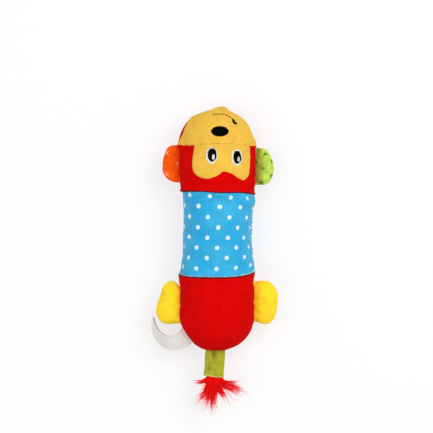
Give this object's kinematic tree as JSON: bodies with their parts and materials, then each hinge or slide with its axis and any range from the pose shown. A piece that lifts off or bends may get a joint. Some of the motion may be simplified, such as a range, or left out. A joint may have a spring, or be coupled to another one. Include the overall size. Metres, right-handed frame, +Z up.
{
  "type": "squeaky plush dog toy",
  "caption": "Stuffed cloth tube toy for a dog, sewn as an animal with an embroidered face, ears, feet and a tail, with squeakers inside that sound when it is bitten.",
  "frame": {"origin": "on the floor under the middle of the belly, with the toy lying on its back", "axes": "+Y along the body towards the muzzle, +Z up out of the face, +X to the side of the right ear as the face is seen from above"},
  "size_m": [0.0988, 0.2226, 0.0482],
  "materials": {
    "red_plush": "short-pile red plush",
    "yellow_plush": "short-pile warm yellow plush",
    "blue_dot_cloth": "smooth blue cloth with white dots",
    "orange_print": "orange cloth with fine pale crosses",
    "green_print": "light green cloth with dark green triangles",
    "foot_plush": "short-pile lemon yellow plush",
    "olive_cloth": "olive cloth",
    "tuft_fibre": "loose bright red fibre",
    "label_satin": "white satin ribbon",
    "black_thread": "black satin stitch",
    "white_thread": "white satin stitch",
    "seam_thread": "blue sewing thread",
    "fibre_fill": "white polyester fibre",
    "squeaker_plastic": "thin translucent plastic",
    "reed_film": "thin plastic film"
  },
  "bodies": {
    "torso": {"belly_front_panel": "blue_dot_cloth", "belly_back_panel": "blue_dot_cloth", "belly_back_wad": "fibre_fill", "neck_wad": "fibre_fill", "waist_wad": "fibre_fill", "squeaker_upper_bulb": "squeaker_plastic", "squeaker_upper_whistle": "squeaker_plastic", "squeaker_upper_reed_holder": "squeaker_plastic", "squeaker_lower_bulb": "squeaker_plastic", "squeaker_lower_whistle": "squeaker_plastic", "squeaker_lower_reed_holder": "squeaker_plastic", "closing_stitch": "seam_thread"},
    "belly_press": {"press_wad_upper": "fibre_fill", "press_wad_lower": "fibre_fill"},
    "reed_upper": {"squeaker_upper_reed": "reed_film"},
    "reed_lower": {"squeaker_lower_reed": "reed_film"},
    "head": {"muzzle_panel": "yellow_plush", "head_front_panel": "red_plush", "head_back_panel": "red_plush", "head_wad": "fibre_fill", "face_patch": "yellow_plush", "eye_left_white": "white_thread", "eye_left_pupil": "black_thread", "eye_left_glint": "white_thread", "eye_right_white": "white_thread", "eye_right_pupil": "black_thread", "eye_right_glint": "white_thread", "nose": "black_thread", "mouth_stitch": "black_thread", "cheek_stitch": "black_thread"},
    "ear_left": {"ear_left_front": "orange_print", "ear_left_back": "orange_print", "ear_left_wad": "fibre_fill"},
    "ear_right": {"ear_right_front": "green_print", "ear_right_back": "green_print", "ear_right_wad": "fibre_fill"},
    "hip": {"hip_front_panel": "red_plush", "hip_back_panel": "red_plush", "hip_wad": "fibre_fill"},
    "foot_left": {"foot_left_front": "foot_plush", "foot_left_back": "foot_plush", "foot_left_wad": "fibre_fill"},
    "foot_right": {"foot_right_front": "foot_plush", "foot_right_back": "foot_plush", "foot_right_wad": "fibre_fill"},
    "tail": {"tail_tube": "olive_cloth", "tail_wad": "fibre_fill"},
    "tuft": {"tail_tuft": "tuft_fibre", "tuft_binding": "tuft_fibre"},
    "label": {"care_label": "label_satin"}
  },
  "joints": [
    {"name": "neck_bend", "type": "hinge", "parent": "torso", "child": "head", "pos_m": [0, 0.031, 0.023], "axis": [1, 0, 0], "range_deg": [-12, 12], "stiffness_Nm_per_rad": 0.3},
    {"name": "waist_bend", "type": "hinge", "parent": "torso", "child": "hip", "pos_m": [0, -0.031, 0.023], "axis": [-1, 0, 0], "range_deg": [-12, 12], "stiffness_Nm_per_rad": 0.3},
    {"name": "ear_left_fold", "type": "hinge", "parent": "head", "child": "ear_left", "pos_m": [-0.0285, 0.0518, 0.023], "axis": [0, 1, 0], "range_deg": [-35, 35], "stiffness_Nm_per_rad": 0.003},
    {"name": "ear_right_fold", "type": "hinge", "parent": "head", "child": "ear_right", "pos_m": [0.0285, 0.0496, 0.023], "axis": [0, -1, 0], "range_deg": [-35, 35], "stiffness_Nm_per_rad": 0.003},
    {"name": "foot_left_fold", "type": "hinge", "parent": "hip", "child": "foot_left", "pos_m": [-0.0285, -0.05, 0.023], "axis": [0, 1, 0], "range_deg": [-35, 35], "stiffness_Nm_per_rad": 0.006},
    {"name": "foot_right_fold", "type": "hinge", "parent": "hip", "child": "foot_right", "pos_m": [0.0285, -0.0496, 0.023], "axis": [0, -1, 0], "range_deg": [-35, 35], "stiffness_Nm_per_rad": 0.006},
    {"name": "tail_swing", "type": "hinge", "parent": "hip", "child": "tail", "pos_m": [-0.0015, -0.085, 0.023], "axis": [-1, 0, 0], "range_deg": [-40, 40], "stiffness_Nm_per_rad": 0.01},
    {"name": "tuft_sway", "type": "hinge", "parent": "tail", "child": "tuft", "pos_m": [-0.0015, -0.1044, 0.023], "axis": [0, 0, 1], "range_deg": [-20, 20], "stiffness_Nm_per_rad": 0.001},
    {"name": "label_flip", "type": "hinge", "parent": "hip", "child": "label", "pos_m": [-0.02209, -0.07478, 0.023], "axis": [-0.6381, 0.77, 0], "range_deg": [-30, 30], "stiffness_Nm_per_rad": 0.001},
    {"name": "belly_squeeze", "type": "slide", "parent": "torso", "child": "belly_press", "axis": [0, 0, -1], "range_m": [0, 0.007], "stiffness_N_per_m": 600, "deforming": ["belly_front_panel", "squeaker_upper_bulb", "squeaker_lower_bulb"]},
    {"name": "reed_upper_flutter", "type": "hinge", "parent": "torso", "child": "reed_upper", "pos_m": [0, 0.0155, 0.0092], "axis": [0, 1, 0], "range_deg": [0, 5]},
    {"name": "reed_lower_flutter", "type": "hinge", "parent": "torso", "child": "reed_lower", "pos_m": [0, -0.0155, 0.0092], "axis": [0, 1, 0], "range_deg": [0, 5]}
  ]
}
